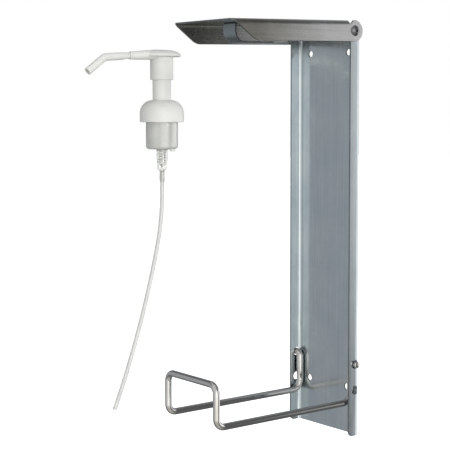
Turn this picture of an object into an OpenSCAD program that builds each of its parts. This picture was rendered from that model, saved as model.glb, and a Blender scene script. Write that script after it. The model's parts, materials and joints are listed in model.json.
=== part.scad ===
// Wall mounted soap dispenser: a folded steel bracket with a press lever, a
// wire bottle holder that swings up, and a foam pump that stands beside it.
// Frame: +Z is up, the wall is the plane Y = 0 and the front is at -Y.
// Origin: centre of the four wall screw holes, on the bracket's back face.
// All sizes are in millimetres.

/* [Bracket] */
// Outside width of the bracket channel
channel_w = 83.4; // [80:0.2:100]
// Depth of the side flanges, measured from the wall
flange_d = 13; // [12:0.5:15]
// Thickness of all the steel sheet
sheet_t = 1.5; // [1.2:0.1:1.8]
// Outside radius of the sheet bends
bend_r = 4.8; // [3:0.1:4.8]
// Height of the bracket's lower edge
bracket_bottom = -197.5; // [-220:0.5:-190]
// Distance between the two columns of wall screw holes
hole_span_x = 52; // [40:1:56]
// Distance between the upper and lower wall screw holes
hole_span_z = 310; // [290:1:320]
// Diameter of a wall screw hole
wall_hole_d = 6; // [4:0.5:7]

/* [Lever] */
// Height of the lever pivot
pivot_z = 173.5; // [170:0.5:180]
// Distance of the lever pivot from the wall
pivot_out = 9.6; // [9.6:0.1:10]
// Reach of the lever, from its pivot to its front edge
lever_reach = 138.5; // [120:0.5:160]
// Height of the lever's side walls
lever_wall = 18.8; // [17:0.2:18.8]
// Angle by which the resting lever slopes down
lever_slope = 1.5; // [0:0.1:3]
// Width of the pusher strap under the lever
strap_w = 17; // [12:1:24]
// Diameter of the pivot screws
screw_d = 5; // [4:1:5]

/* [Bottle holder] */
// Diameter of the holder's wire
wire_d = 6; // [5:0.5:6]
// Height of the holder's pivot holes
holder_z = -131; // [-140:1:-120]
// Drop of the arms below the pivot
holder_drop = 36; // [30:1:45]
// Distance of the front of the holder from the wall
holder_reach = 160.5; // [120:0.5:180]
// Height of the front loop above the arms
loop_h = 36.5; // [24:0.5:36.5]
// Distance of each arm from the middle
arm_x = 35.5; // [33:0.1:35.5]

/* [Pump] */
// Where the pump stands to the left of the bracket
pump_x = -155; // [-200:1:-150]
// Where the pump stands in front of the wall
pump_y = -83.5; // [-120:0.5:-60]
// Height of the closure collar's lower rim
pump_z = 90; // [80:1:110]
// Outside diameter of the closure collar
collar_d = 43.6; // [43:0.2:46]
// Outside diameter of the air cylinder
housing_d = 31.6; // [31:0.2:32]
// Outside diameter of the dip tube
dip_d = 4.4; // [4:0.1:4.4]

/* [Hidden] */
$fn = 64;
eps = 0.01;
big = 400;

// Bracket, derived
plate_top = pivot_z - 5;
ear_root = pivot_z - 9;
ear_swell = pivot_z - 3;
ear_r = 7.2;
ear_front = pivot_out + ear_r;
corner_r = 4.5;
flange_hole_d = wire_d + 1.8;
wire_back = sheet_t + 0.1 + flange_hole_d / 2;

// Lever, derived
lever_half = lever_wall / 2;
lever_gap = 0.5;
lever_in = channel_w / 2 + lever_gap;
lever_out = lever_in + sheet_t;
plate_start = 6;
nose_low = 109;
nose_mid = [118, -6.6];
strap_u = 109.5;
strap_low = -10;
strap_bend = 10.5;
strap_back = 64;
strap_foot = 16;
pivot_hole_d = screw_d + 0.2;
head_r = 4.75;
head_h = 2.75;
head_dome = 5.8;
socket_r = 1.73;
socket_depth = 1.7;
washer_r = 5;
nut_across = 8;
nut_t = 4;

// Bottle holder, derived
wire_r = wire_d / 2;
end_x = channel_w / 2 + 3.6;
top_bend = channel_w / 2 - arm_x - 0.5;
rear_bend = 9;
front_bend = 8;
arm_z = holder_z - holder_drop;
bar_z = arm_z + loop_h;

// Pump, derived: heights count from the closure collar's lower rim
collar_r = collar_d / 2;
dome_r = 13;
shoulder_z = 8.8;
rim_r = 1.2;
chimney_r = 9.1;
chimney_in = 7.6;
chimney_top = 46;
collar_ceiling = 11.5;
thread_r = 20.2;
bead_r = 19.3;
flange_top = 11.4;
flange_low = 9.8;
gasket_low = 8.8;
housing_r = housing_d / 2;
cylinder_in = 14.6;
housing_low = -26.7;
housing_floor = -25.4;
liquid_r = 4.3;
liquid_top = -12.5;
ledge_z = -39;
cage_low = -40.2;
ball_z = -43.2;
ball_r = 2;
seat_low = -45;
socket_top = -48.5;
socket_low = -59.2;
dip_r = dip_d / 2;
stem_r = 5.6;
stem_in = 4.4;
rod_r = 3;
rod_in = 1.4;
stem_top = 59;
rod_low = -19;
running = 0.05;
skirt_r = 11.4;
skirt_in = 9.6;
skirt_low = 41.7;
boss_r = 7.2;
boss_low = 50;
head_ceiling = 61.5;
head_top = 71.3;
plate_a = 21;
plate_b = 15;
rim_z = 65.2;
neck_u = 38;
neck_z = 64.7;
neck_r = 3.9;
spout_slope = 4.5;
tip_slope = 36.5;
spring_r = 3.4;
spring_wire = 0.4;
spring_turns = 7;

// ---- Shared shapes -------------------------------------------------------

// Places its children at the pump
module at_pump() { translate([pump_x, pump_y, pump_z]) children(); }

// A U-shaped sheet section that opens towards -Y, with its web on Y = 0
module u_section(width, depth, thick, radius) {
    difference() {
        u_outline(width / 2, 0, depth, radius);
        u_outline(width / 2 - thick, thick, depth + 1, radius - thick);
    }
}

module u_outline(half, top, depth, radius) {
    translate([-half, -depth]) square([2 * half, depth - top - radius]);
    translate([radius - half, -depth]) square([2 * (half - radius), depth - top]);
    for (side = [-1, 1]) translate([side * (half - radius), -top - radius]) circle(radius);
}

// Extrudes a side view drawn as [forward, up] along X, over a whole width
module across(width) {
    rotate([90, 0, -90]) translate([0, 0, -width / 2]) linear_extrude(width) children();
}

// A ring with square edges around Z
module ring(r_out, r_in, low, high) {
    translate([0, 0, low]) difference() {
        cylinder(h = high - low, r = r_out);
        translate([0, 0, -1]) cylinder(h = high - low + 2, r = r_in);
    }
}

// A round bar along Z that starts at the origin
module bar(length, radius) { cylinder(h = length, r = radius); }

// A bent round bar or tube: it leaves the origin along +Z and turns towards +X
module bend(turn, centre_r, radius, bore = 0) {
    translate([centre_r, 0, 0]) rotate([90, 0, 180])
        rotate_extrude(angle = turn) translate([centre_r, 0]) difference() {
            circle(radius);
            if (bore > 0) circle(bore);
        }
}

// ---- Bracket -------------------------------------------------------------

module flange_view() {
    polygon([[0, bracket_bottom], [flange_d - corner_r, bracket_bottom],
        [flange_d, bracket_bottom + corner_r], [flange_d, ear_root], [ear_front, ear_swell],
        [ear_front, pivot_z], [pivot_out - ear_r, pivot_z], [0, plate_top]]);
    translate([flange_d - corner_r, bracket_bottom + corner_r]) circle(corner_r);
    translate([pivot_out, pivot_z]) circle(ear_r);
}

module wall_bracket() {
    web_w = channel_w - 2 * bend_r;
    color("#93a0a6") difference() {
        intersection() {
            translate([0, 0, bracket_bottom]) linear_extrude(big) u_section(channel_w, ear_front, sheet_t, bend_r);
            across(channel_w + 2) flange_view();
        }
        translate([-web_w / 2, -bend_r, plate_top]) cube([web_w, bend_r + 1, 40]);
        for (x = [-1, 1], z = [-1, 1])
            translate([x * hole_span_x / 2, 1, z * hole_span_z / 2]) rotate([90, 0, 0]) bar(4, wall_hole_d / 2);
        for (z = [holder_z, -hole_span_z / 2])
            translate([-channel_w, -wire_back, z]) rotate([0, 90, 0]) bar(2 * channel_w, flange_hole_d / 2);
        translate([-channel_w, -pivot_out, pivot_z]) rotate([0, 90, 0]) bar(2 * channel_w, pivot_hole_d / 2);
    }
}

// ---- Lever ---------------------------------------------------------------

// Places its children at the pivot, sloping down like the resting lever
module at_pivot() { translate([0, -pivot_out, pivot_z]) rotate([lever_slope, 0, 0]) children(); }

module lever_view() {
    difference() {
        union() {
            circle(lever_half);
            polygon([[0, -lever_half], [nose_low, -lever_half], nose_mid, [lever_reach - 1.5, 8],
                [lever_reach, lever_half], [0, lever_half]]);
            translate([nose_low, 5.6]) circle(lever_half + 5.6);
        }
        translate([nose_low - 30, lever_half]) square([60, 20]);
        polygon([[1.5, lever_half + 0.2], [5, 6], [plate_start, 6.8], [plate_start, 12], [1.5, 12]]);
    }
}

module lever_arm() {
    color("#a5a39c") at_pivot() difference() {
        union() {
            intersection() {
                translate([0, -lever_reach - 1, lever_half]) rotate([-90, 0, 0]) mirror([0, 1, 0])
                    linear_extrude(lever_reach + 1) u_section(2 * lever_out, 30, sheet_t, bend_r);
                across(2 * lever_out + 2) lever_view();
            }
            intersection() {
                across(2 * lever_out) lever_view();
                translate([-lever_out, -5, -lever_half]) cube([2 * lever_out, 20, lever_wall]);
            }
        }
        translate([-lever_in, -plate_start, -lever_half - 1]) cube([2 * lever_in, 40, lever_wall + 2]);
        translate([-lever_out - 1, 0, 0]) rotate([0, 90, 0]) bar(2 * lever_out + 2, pivot_hole_d / 2);
    }
}

// The strap is a J: a foot under the lever, a leg, a bend and a flat pad
module strap_view() {
    ceiling = lever_half - sheet_t;
    bend_z = strap_low + strap_bend;
    translate([strap_u - strap_foot, ceiling - sheet_t]) square([strap_foot - sheet_t, sheet_t]);
    translate([strap_u - sheet_t, bend_z]) square([sheet_t, ceiling - bend_z - sheet_t]);
    intersection() {
        translate([strap_u - sheet_t, ceiling - sheet_t]) circle(sheet_t);
        translate([strap_u - sheet_t, ceiling - sheet_t]) square(sheet_t);
    }
    difference() {
        translate([strap_u - strap_bend, bend_z]) circle(strap_bend);
        translate([strap_u - strap_bend, bend_z]) circle(strap_bend - sheet_t);
        translate([strap_u - 2 * strap_bend - 1, bend_z]) square(2 * strap_bend + 2);
        translate([strap_u - 2 * strap_bend - 1, strap_low - 1]) square([strap_bend + 1, strap_bend + 2]);
    }
    translate([strap_back, strap_low]) square([strap_u - strap_bend - strap_back, sheet_t]);
}

module pusher_strap() {
    color("#8b98a0") at_pivot() across(strap_w) strap_view();
}

// Repeats its children on both ends of the pivot axis, facing outwards
module both_pivots() {
    for (side = [0, 1]) translate([0, -pivot_out, pivot_z]) mirror([side, 0, 0]) rotate([0, 90, 0]) children();
}

module pivot_screws() {
    tip = channel_w / 2 - sheet_t - nut_t - 1;
    color("#77787a") both_pivots() {
        translate([0, 0, tip]) bar(lever_out - tip + 0.3, screw_d / 2);
        translate([0, 0, lever_out + running]) difference() {
            rotate_extrude() intersection() {
                translate([0, head_h - head_dome]) circle(head_dome);
                square([head_r, head_h]);
            }
            translate([0, 0, head_h - socket_depth]) cylinder(h = 3, r = socket_r, $fn = 6);
        }
    }
}

module pivot_washers() {
    color("#d8d8d2") both_pivots() ring(washer_r, screw_d / 2 + 0.1, channel_w / 2, lever_in);
}

module pivot_nuts() {
    low = channel_w / 2 - sheet_t - nut_t;
    color("#8a8b8d") both_pivots() difference() {
        translate([0, 0, low]) cylinder(h = nut_t, r = nut_across / sqrt(3), $fn = 6);
        translate([0, 0, low - 1]) bar(nut_t + 2, screw_d / 2);
    }
}

// ---- Bottle holder -------------------------------------------------------

// One half of the holder, from its pivot end to the middle of the front bar
module holder_half() {
    leg_y = -wire_back;
    translate([end_x, leg_y, holder_z]) rotate([0, -90, 0]) bar(end_x - arm_x - top_bend, wire_r);
    translate([arm_x + top_bend, leg_y, holder_z]) rotate([0, -90, 0]) rotate([0, 0, 180])
        bend(90, top_bend, wire_r);
    translate([arm_x, leg_y, arm_z + rear_bend]) bar(holder_drop - rear_bend - top_bend, wire_r);
    translate([arm_x, leg_y, arm_z + rear_bend]) rotate([180, 0, -90]) bend(90, rear_bend, wire_r);
    translate([arm_x, leg_y - rear_bend, arm_z]) rotate([90, 0, 0])
        bar(holder_reach + leg_y - rear_bend - front_bend, wire_r);
    translate([arm_x, front_bend - holder_reach, arm_z]) rotate([90, 0, 0]) rotate([0, 0, 90])
        bend(90, front_bend, wire_r);
    translate([arm_x, -holder_reach, arm_z + front_bend]) bar(loop_h - 2 * front_bend, wire_r);
    translate([arm_x, -holder_reach, bar_z - front_bend]) rotate([0, 0, 180]) bend(90, front_bend, wire_r);
    translate([0, -holder_reach, bar_z]) rotate([0, 90, 0]) bar(arm_x - front_bend, wire_r);
}

module wire_holder() {
    color("#b9babb") for (side = [0, 1]) mirror([side, 0, 0]) holder_half();
}

// ---- Pump head -----------------------------------------------------------

// A thin elliptical slice of the head plate
module plate_slice(height, grow) {
    translate([0, 0, height]) linear_extrude(eps)
        polygon([for (i = [0:47]) [(plate_b - grow) * cos(i * 7.5), (plate_a - grow) * sin(i * 7.5)]]);
}

// A round slice across the spout, at a distance in front of the pump axis
module spout_slice(forward, height, half_w, half_h) {
    translate([0, -forward, height]) rotate([90, 0, 0]) linear_extrude(eps)
        polygon([for (i = [0:31]) [half_w * cos(i * 11.25), half_h * sin(i * 11.25)]]);
}

module actuator_head() {
    color("#ecebe6") at_pump() difference() {
        union() {
            ring(skirt_r, skirt_in, skirt_low, head_ceiling + 1);
            translate([0, 0, head_ceiling]) bar(rim_z - head_ceiling, skirt_r);
            ring(boss_r, stem_r + running, boss_low, head_ceiling + 1);
            hull() {
                plate_slice(64.3, 2.5);
                plate_slice(64.6, 0.8);
                plate_slice(rim_z, 0);
                plate_slice(66.6, 0.5);
                plate_slice(68.6, 3);
                plate_slice(70.2, 7);
                plate_slice(71, 10.5);
                plate_slice(head_top - eps, 13.5);
            }
            hull() {
                spout_slice(neck_u - eps, neck_z, neck_r, neck_r);
                spout_slice(24, neck_z + 0.8, 5, 4.5);
                spout_slice(11, neck_z + 1.4, 7.5, 4.9);
            }
        }
        translate([0, 0, boss_low]) bar(stem_top + 0.5 - boss_low, stem_r + running);
        translate([0, 0, stem_top]) bar(neck_z + 1.8 - stem_top, 3.4);
        translate([0, -neck_u, neck_z]) rotate([-90 + spout_slope, 0, 0]) translate([0, 0, -1])
            bar(neck_u + 1, 2.3);
    }
}

// The extension runs along +Z from the spout's mouth, then its tip leans towards +X
module nozzle_run() {
    elbow_z = 28.3;
    tip_len = 23.6;
    turn = tip_slope - spout_slope;
    wide = 3.7;
    bore = 1.9;
    spigot = 2.25;
    spigot_len = 8;
    waist = 2.9;
    taper_len = 9.4;
    step = 0.4;
    difference() {
        union() {
            rotate_extrude() polygon([[0, -spigot_len], [spigot, -spigot_len], [spigot, step],
                [waist, step], [wide, taper_len], [wide, elbow_z], [0, elbow_z]]);
            translate([0, 0, elbow_z]) sphere(wide);
            translate([0, 0, elbow_z]) rotate([0, turn, 0]) bar(tip_len, wide);
        }
        translate([0, 0, -spigot_len - 1]) bar(elbow_z + spigot_len + 1, bore);
        translate([0, 0, elbow_z]) sphere(bore);
        translate([0, 0, elbow_z]) rotate([0, turn, 0]) bar(tip_len + 1, bore);
    }
}

module nozzle_extension() {
    color("#e6e6e0") at_pump() translate([0, -neck_u, neck_z]) rotate([90 + spout_slope, 0, 0])
        rotate([0, 0, -90]) nozzle_run();
}

module mesh_cartridge() {
    color("#dfe3e4") at_pump() ring(stem_in - 0.05, 3.4, 38, 57);
}

module foam_meshes() {
    color("#c9cdd0") at_pump() for (z = [37.6, 57]) translate([0, 0, z]) bar(0.4, stem_in - 0.1);
}

// ---- Pump pistons --------------------------------------------------------

module stem() {
    color("#e9e9e4") at_pump() rotate_extrude() polygon([
        [rod_in, rod_low], [3.8, rod_low], [3.8, rod_low + 0.8], [rod_r, rod_low + 0.8], [rod_r, 2],
        [stem_r, 4], [stem_r, stem_top], [stem_in, stem_top], [stem_in, 10], [1.5, 8.6], [1.5, 7.6],
        [2.2, 7], [2.2, 3.6], [rod_in, 2.4]]);
}

module outlet_ball() {
    color("#8d9092") at_pump() translate([0, 0, 3.6]) sphere(1.8);
}

module air_piston() {
    lip = cylinder_in - running;
    color("#d9dedf") at_pump() rotate_extrude() polygon([
        [stem_r, 4.2], [7.2, 3.2], [7.2, 6.8], [lip - 2, 6.8], [lip - 1.2, 2.6], [lip - 0.2, 2.6], [lip, 3.4],
        [lip - 0.4, 6.4], [lip, 10], [lip - 0.3, 10.8], [lip - 1.1, 10.8], [lip - 2, 8], [7.2, 8],
        [7.2, 11.2], [stem_r, 11.2]]);
}

module air_valve_ring() {
    color("#b7bcbd") at_pump() rotate_extrude() polygon([
        [7.25, 5.4], [8, 5.4], [8.4, 6.2], [11.4, 6.4], [11.4, 6.75], [7.25, 6.75]]);
}

module liquid_piston() {
    lip = liquid_r - running;
    color("#d0d6d8") at_pump() rotate_extrude() polygon([
        [rod_r, rod_low + 0.85], [lip, rod_low + 0.85], [lip - 0.3, -16], [lip, -13.6], [lip - 0.5, -13.6],
        [3.5, -15], [rod_r, -15]]);
}

module return_spring() {
    low = ledge_z + spring_wire;
    high = rod_low - spring_wire;
    steps_a_turn = 14;
    steps = spring_turns * steps_a_turn;
    sides = 8;
    ring_points = [for (i = [0:steps]) for (j = [0:sides - 1])
        let (turn = 360 * spring_turns * i / steps, lean = 360 * j / sides,
            reach = spring_r + spring_wire * cos(lean))
        [reach * cos(turn), reach * sin(turn), low + (high - low) * i / steps + spring_wire * sin(lean)]];
    walls = [for (i = [0:steps - 1]) for (j = [0:sides - 1])
        let (next = (j + 1) % sides)
        [i * sides + j, (i + 1) * sides + j, (i + 1) * sides + next, i * sides + next]];
    ends = [[for (j = [0:sides - 1]) j], [for (j = [sides - 1:-1:0]) steps * sides + j]];
    color("#9aa0a3") at_pump() polyhedron(ring_points, concat(walls, ends));
}

// ---- Pump body -----------------------------------------------------------

module closure_collar() {
    color("#efeeea") at_pump() {
        rotate_extrude() difference() {
            union() {
                square([collar_r - dome_r, shoulder_z + dome_r]);
                translate([0, rim_r]) square([collar_r, shoulder_z - rim_r]);
                square([collar_r - rim_r, shoulder_z]);
                translate([collar_r - rim_r, rim_r]) circle(rim_r);
                intersection() {
                    translate([collar_r - dome_r, shoulder_z]) circle(dome_r);
                    translate([0, shoulder_z]) square(collar_r);
                }
                square([chimney_r, chimney_top]);
            }
            translate([-1, -1]) square([thread_r + 1, collar_ceiling + 1]);
            translate([-1, 0]) square([chimney_in + 1, chimney_top + 1]);
        }
        for (z = [2.2, 5.4]) translate([0, 0, z]) rotate_extrude()
            polygon([[thread_r + 0.2, 0], [bead_r, 0.6], [bead_r, 1.1], [thread_r + 0.2, 1.9]]);
    }
}

module neck_gasket() {
    color("#c8ccc8") at_pump() ring(19, housing_r + 0.1, gasket_low, flange_low);
}

module air_cylinder() {
    corner = 3;
    lug_turn = 52;
    lug_out = 10.3;
    lug_r = 2.6;
    lug_h = 2.3;
    color([0.82, 0.85, 0.84, 0.6]) at_pump() {
        rotate_extrude() difference() {
            union() {
                translate([0, housing_low + corner]) square([housing_r, flange_top - housing_low - corner]);
                translate([0, housing_low]) square([housing_r - corner, corner]);
                translate([housing_r - corner, housing_low + corner]) circle(corner);
                translate([0, flange_low]) square([19.3, flange_top - flange_low]);
                polygon([[0, liquid_top], [5.5, liquid_top], [5.6, housing_low - 1], [5, -46.7], [2.8, socket_top],
                    [2.75, socket_low], [0, socket_low]]);
            }
            polygon([[cylinder_in, flange_top + 1], [cylinder_in, housing_floor + 2],
                [cylinder_in - 2, housing_floor], [5.5, housing_floor], [5.5, liquid_top], [5.5, flange_top + 1]]);
            translate([-1, liquid_top]) square([7, flange_top - liquid_top + 1]);
            polygon([[-1, 0], [liquid_r, 0], [liquid_r, ledge_z], [liquid_r, cage_low], [2.5, cage_low],
                [2.5, ball_z], [1.2, seat_low], [1.2, socket_top], [dip_r + 0.02, socket_top],
                [dip_r + 0.02, socket_low - 1], [-1, socket_low - 1]]);
        }
        rotate([0, 0, lug_turn]) translate([lug_out, 0, housing_low - lug_h]) bar(lug_h + 0.7, lug_r);
    }
}

module ball_retainer() {
    color("#d5d9d9") at_pump() difference() {
        translate([0, 0, cage_low]) bar(ledge_z - cage_low, liquid_r - 0.02);
        for (turn = [0:90:270]) rotate([0, 0, turn]) translate([1.9, 0, cage_low - 1]) bar(4, 0.8);
    }
}

module inlet_ball() {
    color("#55585a") at_pump() translate([0, 0, ball_z]) sphere(ball_r);
}

// ---- Dip tube ------------------------------------------------------------

// The tube hangs straight, then bends forward in two gentle arcs
module dip_tube() {
    first_r = 243;
    first_turn = 13;
    second_r = 930;
    second_turn = 10.2;
    straight = 20.2;
    bore = dip_r - 0.7;
    color([0.86, 0.87, 0.84, 0.7]) at_pump() translate([0, 0, socket_top]) rotate([180, 0, 0])
        rotate([0, 0, 90]) {
            ring(dip_r, bore, 0, straight);
            translate([0, 0, straight]) bend(first_turn, first_r, dip_r, bore);
            translate([first_r * (1 - cos(first_turn)), 0, straight + first_r * sin(first_turn)])
                rotate([0, first_turn, 0]) bend(second_turn, second_r, dip_r, bore);
        }
}

wall_bracket();
lever_arm();
pusher_strap();
pivot_screws();
pivot_washers();
pivot_nuts();
wire_holder();
actuator_head();
nozzle_extension();
mesh_cartridge();
foam_meshes();
stem();
outlet_ball();
air_piston();
air_valve_ring();
liquid_piston();
closure_collar();
neck_gasket();
air_cylinder();
return_spring();
ball_retainer();
inlet_ball();
dip_tube();
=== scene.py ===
"""Looks for the wall mounted soap dispenser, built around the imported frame.

Shapes are given in millimetres and become metres when a mesh is made. Materials,
lights and the camera are given in metres. The frame is the CAD's own: +Z is up,
the wall is the plane Y = 0 and the front is at -Y.
"""

import json
import math

import bmesh
import bpy
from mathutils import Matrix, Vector


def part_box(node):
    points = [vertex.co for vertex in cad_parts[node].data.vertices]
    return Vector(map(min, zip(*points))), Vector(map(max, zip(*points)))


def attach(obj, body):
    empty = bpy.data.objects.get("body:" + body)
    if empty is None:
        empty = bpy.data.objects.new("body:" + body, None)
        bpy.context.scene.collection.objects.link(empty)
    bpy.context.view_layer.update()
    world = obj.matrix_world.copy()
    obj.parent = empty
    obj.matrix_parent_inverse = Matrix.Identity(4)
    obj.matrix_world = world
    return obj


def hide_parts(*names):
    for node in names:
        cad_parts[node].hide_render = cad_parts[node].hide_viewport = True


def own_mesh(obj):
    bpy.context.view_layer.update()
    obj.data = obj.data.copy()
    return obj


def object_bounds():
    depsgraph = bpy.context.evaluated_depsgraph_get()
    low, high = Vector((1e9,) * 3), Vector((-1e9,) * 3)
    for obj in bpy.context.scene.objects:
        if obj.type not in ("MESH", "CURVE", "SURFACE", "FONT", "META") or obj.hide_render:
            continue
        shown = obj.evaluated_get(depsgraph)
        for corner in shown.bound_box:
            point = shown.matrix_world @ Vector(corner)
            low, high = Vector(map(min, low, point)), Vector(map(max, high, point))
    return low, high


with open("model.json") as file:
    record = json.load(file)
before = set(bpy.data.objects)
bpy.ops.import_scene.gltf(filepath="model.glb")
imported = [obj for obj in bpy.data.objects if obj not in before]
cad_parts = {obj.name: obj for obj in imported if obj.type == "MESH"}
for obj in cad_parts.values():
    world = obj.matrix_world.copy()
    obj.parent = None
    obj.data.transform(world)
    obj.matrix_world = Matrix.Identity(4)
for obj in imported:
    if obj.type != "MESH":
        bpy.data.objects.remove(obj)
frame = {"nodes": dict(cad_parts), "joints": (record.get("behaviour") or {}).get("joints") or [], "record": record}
cad_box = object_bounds()

MM = 0.001


# ---- Places read from the frame ---------------------------------------------

def node_box(name):
    """Lowest and highest corner of a CAD node, in millimetres."""
    low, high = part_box(name)
    return low / MM, high / MM


def joint_point(name):
    """The point of a joint's axis, in millimetres."""
    joint = next(j for j in frame["joints"] if j["name"] == name)
    return Vector(joint["pos_m"]) / MM


def mount_sizes(name):
    """The dimensions of a mount."""
    mounts = frame["record"]["mounts"]
    return next(m for m in mounts if m["name"] == name)["dims"]


LEVER_PIVOT = joint_point("lever_swing")
WIRE_PIVOT = joint_point("holder_swing")
PUMP = joint_point("collar_turn")
PUMP.z = node_box("closure_collar")[0].z

# Sheet metal: its thickness, its bends' outer radius and the rounding of cut edges
SHEET = 1.5
BEND = 4.8
CUT_EDGE = 0.2
PIVOT_HOLE = 2.6
WIRE_HOLE = 3.9

# The lever's rise towards the front and half the height of its walls
LEVER_SLOPE = math.radians(1.5)
LEVER_HALF = 9.4

# The spout's mouth from the collar's rim, and the fall of the nozzle's run
NECK_FORWARD = 38.0
NECK_UP = 64.7
NECK_SLOPE = math.radians(4.5)


# ---- Points and outlines -----------------------------------------------------

def arc(centre, radius, start, end, steps):
    """Points on an arc from one angle to another, in degrees."""
    points = []
    for i in range(steps + 1):
        turn = math.radians(start + (end - start) * i / steps)
        points.append((centre[0] + radius * math.cos(turn), centre[1] + radius * math.sin(turn)))
    return points


def circle(centre, radius, steps=48):
    """A closed circle, as a list of points."""
    return arc(centre, radius, 0, 360, steps)[:-1]


def rounded(points, radii, steps=6, closed=True):
    """The same line with each corner turned into an arc of its radius."""
    points = [Vector(p) for p in points]
    if not hasattr(radii, "__len__"):
        radii = [radii] * len(points)
    result = []
    for i, corner in enumerate(points):
        at_end = not closed and i in (0, len(points) - 1)
        if at_end or radii[i] == 0:
            result.append(corner)
            continue
        to_last = points[i - 1] - corner
        to_next = points[(i + 1) % len(points)] - corner
        half = to_last.angle(to_next) / 2
        if half > math.radians(89):
            result.append(corner)
            continue
        reach = min(radii[i] / math.tan(half), 0.49 * to_last.length, 0.49 * to_next.length)
        radius = reach * math.tan(half)
        first = corner + to_last.normalized() * reach
        last = corner + to_next.normalized() * reach
        inward = (to_last.normalized() + to_next.normalized()).normalized()
        centre = corner + inward * (radius / math.sin(half))
        turn = math.pi - 2 * half
        for k in range(steps + 1):
            share = k / steps
            spoke = (first - centre) * math.sin((1 - share) * turn) + (last - centre) * math.sin(share * turn)
            result.append(centre + spoke / math.sin(turn))
    return result


def inset(loop, amount):
    """Moves a closed outline to its left by amount."""
    moved = []
    for i, corner in enumerate(loop):
        here = Vector(corner)
        coming = (here - Vector(loop[i - 1])).normalized()
        going = (Vector(loop[(i + 1) % len(loop)]) - here).normalized()
        left_in = Vector((-coming.y, coming.x))
        left_out = Vector((-going.y, going.x))
        moved.append(here + (left_in + left_out) * (amount / (1 + left_in.dot(left_out))))
    return moved


# ---- Mesh builders -----------------------------------------------------------

def join_rings(bm, rings, closed=False):
    """Quads between rings of vertices that have the same count."""
    count = len(rings[0])
    pairs = list(zip(rings, rings[1:]))
    if closed:
        pairs.append((rings[-1], rings[0]))
    for low, high in pairs:
        for i in range(count):
            j = (i + 1) % count
            bm.faces.new((low[i], low[j], high[j], high[i]))


def cap_ends(bm, rings):
    """Skins a row of rings and closes both ends."""
    join_rings(bm, rings)
    bm.faces.new(rings[0])
    bm.faces.new(rings[-1])


def add_ring(bm, points):
    """One vertex for each point."""
    return [bm.verts.new(p) for p in points]


def lathe(bm, profile, centre, steps=96):
    """Turns a closed outline of (radius, height) points around a vertical axis."""
    rings = []
    for k in range(steps):
        turn = 2 * math.pi * k / steps
        out = Vector((math.cos(turn), math.sin(turn), 0))
        rings.append(add_ring(bm, [centre + out * p[0] + Vector((0, 0, p[1])) for p in profile]))
    join_rings(bm, rings, closed=True)
    bmesh.ops.remove_doubles(bm, verts=bm.verts[:], dist=1e-4)


def frames_along(path):
    """Two cross directions at each point of a path, which don't twist."""
    tangents = []
    for i in range(len(path)):
        before = path[max(i - 1, 0)]
        after = path[min(i + 1, len(path) - 1)]
        tangents.append((after - before).normalized())
    side = tangents[0].orthogonal().normalized()
    result = []
    for tangent in tangents:
        side = (side - tangent * side.dot(tangent)).normalized()
        result.append((side, tangent.cross(side)))
    return result


def sweep_rings(bm, path, radii, sides):
    """Rings of vertices around a path, one at each of its points."""
    rings = []
    for point, radius, (side, up) in zip(path, radii, frames_along(path)):
        ring = []
        for k in range(sides):
            turn = 2 * math.pi * k / sides
            ring.append(point + (side * math.cos(turn) + up * math.sin(turn)) * radius)
        rings.append(add_ring(bm, ring))
    return rings


def bar(bm, path, radii, sides=32):
    """A solid round bar along a path."""
    cap_ends(bm, sweep_rings(bm, path, radii, sides))


def tube(bm, path, radii, bores, sides=32):
    """A hollow round tube along a path."""
    outside = sweep_rings(bm, path, radii, sides)
    inside = sweep_rings(bm, path, bores, sides)
    join_rings(bm, outside + inside[::-1], closed=True)


def eased_ends(path, radius, ease):
    """A path with extra points near both ends, and radii that round those ends."""
    path = [Vector(p) for p in path]
    shares = (0.0, 0.3, 0.65, 1.0)
    for_start = (path[1] - path[0]).normalized()
    for_end = (path[-2] - path[-1]).normalized()
    drops = [ease * (1 - math.sqrt(1 - (1 - s) ** 2)) for s in shares]
    head = [path[0] + for_start * ease * s for s in shares]
    tail = [path[-1] + for_end * ease * s for s in reversed(shares)]
    middle = path[1:-1]
    radii = [radius - d for d in drops] + [radius] * len(middle) + [radius - d for d in reversed(drops)]
    return head + middle + tail, radii


class Fold:
    """The outer face of a bent sheet seen end on: straight runs and left turns.

    Places along it are counted from its middle. The sheet lies to its left.
    """

    def __init__(self, start, heading, moves, steps=10):
        """Each move is (0, length) for a straight run or (radius, degrees) for a turn."""
        self.pieces = []
        point = Vector(start)
        angle = math.radians(heading)
        along = 0.0
        self.stations = []
        for radius, amount in moves:
            direction = Vector((math.cos(angle), math.sin(angle)))
            if radius == 0:
                length = amount
                self.pieces.append((along, length, point.copy(), angle, 0))
                point += direction * length
            else:
                turn = math.radians(amount)
                length = radius * turn
                self.pieces.append((along, length, point.copy(), angle, radius))
                left = Vector((-direction.y, direction.x))
                centre = point + left * radius
                angle += turn
                point = centre + Vector((math.sin(angle), -math.cos(angle))) * radius
                self.stations += [along + length * k / steps for k in range(steps + 1)]
            along += length
        self.half = along / 2
        self.stations = [s - self.half for s in self.stations]

    def at(self, place, depth):
        """The point at a place along the fold, at a depth in the sheet."""
        along = place + self.half
        chosen = self.pieces[0]
        for piece in self.pieces:
            if along >= piece[0]:
                chosen = piece
        begin, _, point, angle, radius = chosen
        run = along - begin
        if radius == 0:
            direction = Vector((math.cos(angle), math.sin(angle)))
            left = Vector((-direction.y, direction.x))
            return point + direction * run + left * depth
        left = Vector((-math.sin(angle), math.cos(angle)))
        centre = point + left * radius
        now = angle + run / radius
        return centre + Vector((math.sin(now), -math.cos(now))) * (radius - depth)


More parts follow.
